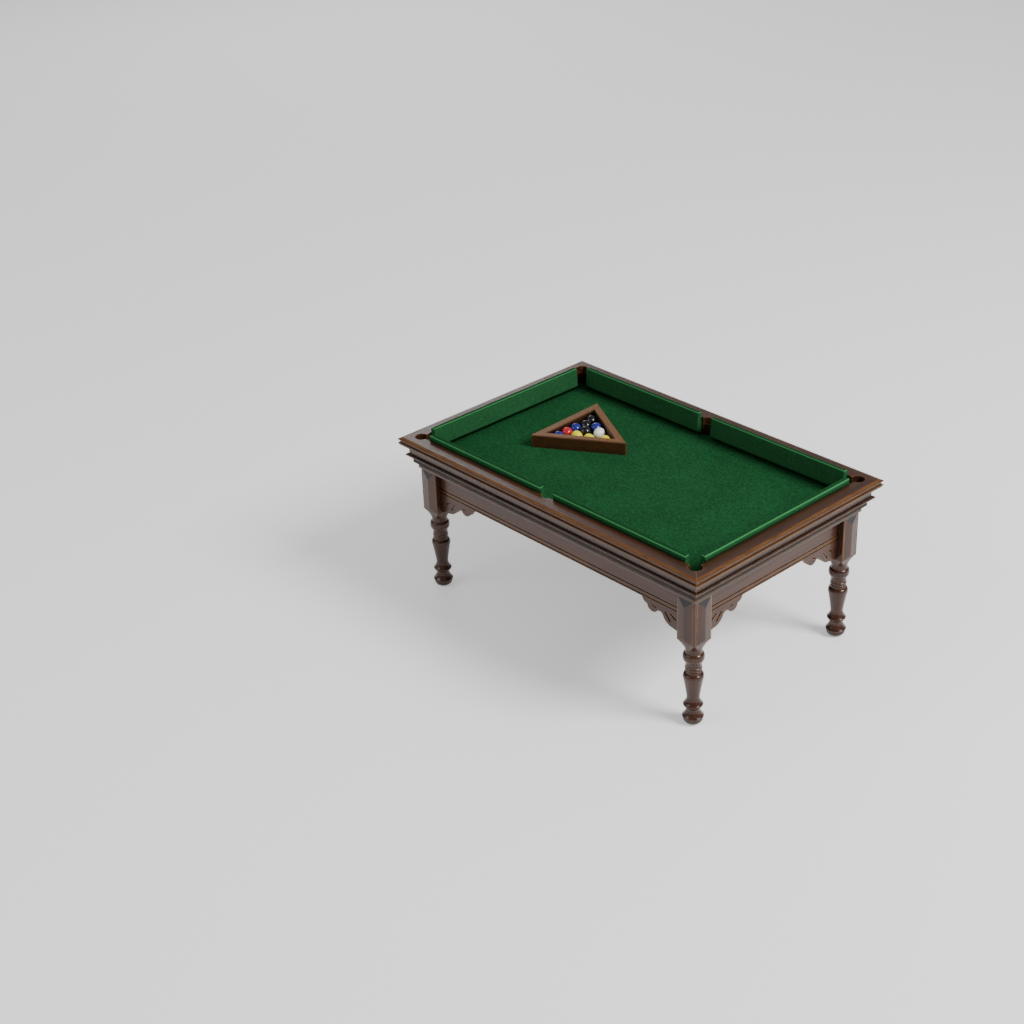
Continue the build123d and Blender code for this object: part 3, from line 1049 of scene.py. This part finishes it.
@dataclass
class Studio:
    """Pale floor, soft light and the camera."""

    azimuth: float = 48.81
    elevation: float = 28.84
    roll: float = -2.53
    eye: tuple[float, float, float] = (0.5298, -0.5420, 0.4740)
    lens: float = 62.2
    floor_size: float = 12.0
    floor_tone: float = 0.94
    floor_glow: float = 0.4
    room_light: float = 0.36
    aim: tuple[float, float, float] = (0.0, 0.0, 0.05)

    def floor(self) -> None:
        """Lays a round pale floor, lit a little from within so that it stays pale."""
        mesh = bmesh.new()
        bmesh.ops.create_circle(mesh, cap_ends=True, segments=96, radius=self.floor_size / 2)
        material = bpy.data.materials.new("pale_floor")
        material.use_nodes = True
        shader = material.node_tree.nodes["Principled BSDF"]
        shader.inputs["Base Color"].default_value = (*[self.floor_tone] * 3, 1.0)
        shader.inputs["Roughness"].default_value = 0.9
        shader.inputs["Emission Color"].default_value = (1.0, 1.0, 1.0, 1.0)
        shader.inputs["Emission Strength"].default_value = self.floor_glow
        floor = new_piece("floor", mesh, material)

    def lamp(self, name: str, place: tuple[float, float, float], size: Pair, watts: float) -> None:
        """Hangs a soft rectangular lamp aimed at the table.

        Args:
            name: the lamp's name.
            place: where it hangs.
            size: its two sides.
            watts: its power.
        """
        data = bpy.data.lights.new(name, "AREA")
        data.shape = "RECTANGLE"
        data.size, data.size_y = size
        data.energy = watts
        lamp = bpy.data.objects.new(name, data)
        lamp.location = place
        aim = Vector(self.aim) - Vector(place)
        lamp.rotation_mode = "QUATERNION"
        lamp.rotation_quaternion = aim.to_track_quat("-Z", "Y")
        lamp.visible_camera = False
        bpy.context.scene.collection.objects.link(lamp)

    def camera(self) -> None:
        """Sets the camera where it looks down on the near right corner."""
        az, el, roll = (math.radians(a) for a in (self.azimuth, self.elevation, self.roll))
        back = Vector((math.sin(az) * math.cos(el), -math.cos(az) * math.cos(el), math.sin(el)))
        right = Vector((math.cos(az), math.sin(az), 0.0))
        up = back.cross(right)
        across = right * math.cos(roll) + up * math.sin(roll)
        upward = up * math.cos(roll) - right * math.sin(roll)
        data = bpy.data.cameras.new("camera")
        data.lens = self.lens
        data.sensor_width = 36.0
        camera = bpy.data.objects.new("camera", data)
        turned = Matrix((across, upward, back)).transposed().to_4x4()
        camera.matrix_world = Matrix.Translation(self.eye) @ turned
        bpy.context.scene.collection.objects.link(camera)
        bpy.context.scene.camera = camera

    def build(self) -> None:
        """Builds the floor, the lamps, the room's light and the camera."""
        self.floor()
        self.camera()
        world = bpy.data.worlds.new("room")
        world.use_nodes = True
        sky = world.node_tree.nodes["Background"]
        sky.inputs["Color"].default_value = (1.0, 1.0, 1.0, 1.0)
        sky.inputs["Strength"].default_value = self.room_light
        bpy.context.scene.world = world
        self.lamp("key", (0.95, 0.3, 0.95), (0.5, 0.5), 20.0)
        self.lamp("back_window", (-1.25, 0.78, 0.62), (0.55, 0.5), 2.2)
        self.lamp("fill", (-0.5, -1.2, 0.8), (0.9, 0.6), 4.5)
        log.info("studio")


def main() -> None:
    """Builds the table's sub-assemblies in order."""
    logging.basicConfig(level=logging.INFO, format="%(message)s")
    effects = Effects(
        grain_effect(), wear_effect(), painted_shade_effect(), nap_effect(), tilt_effect()
    )
    Frame().dress(effects)
    Understructure().dress(effects)
    # the bed felt's cut rim gets a faint painted highlight
    BedCloth().build(Felt("bed_felt_green", edge_highlight_strength=0.3).material(effects))
    Cushions().build(effects)
    Rack().dress(effects)
    Balls().dress(effects)
    Studio().build()


if __name__ == "__main__":
    main()
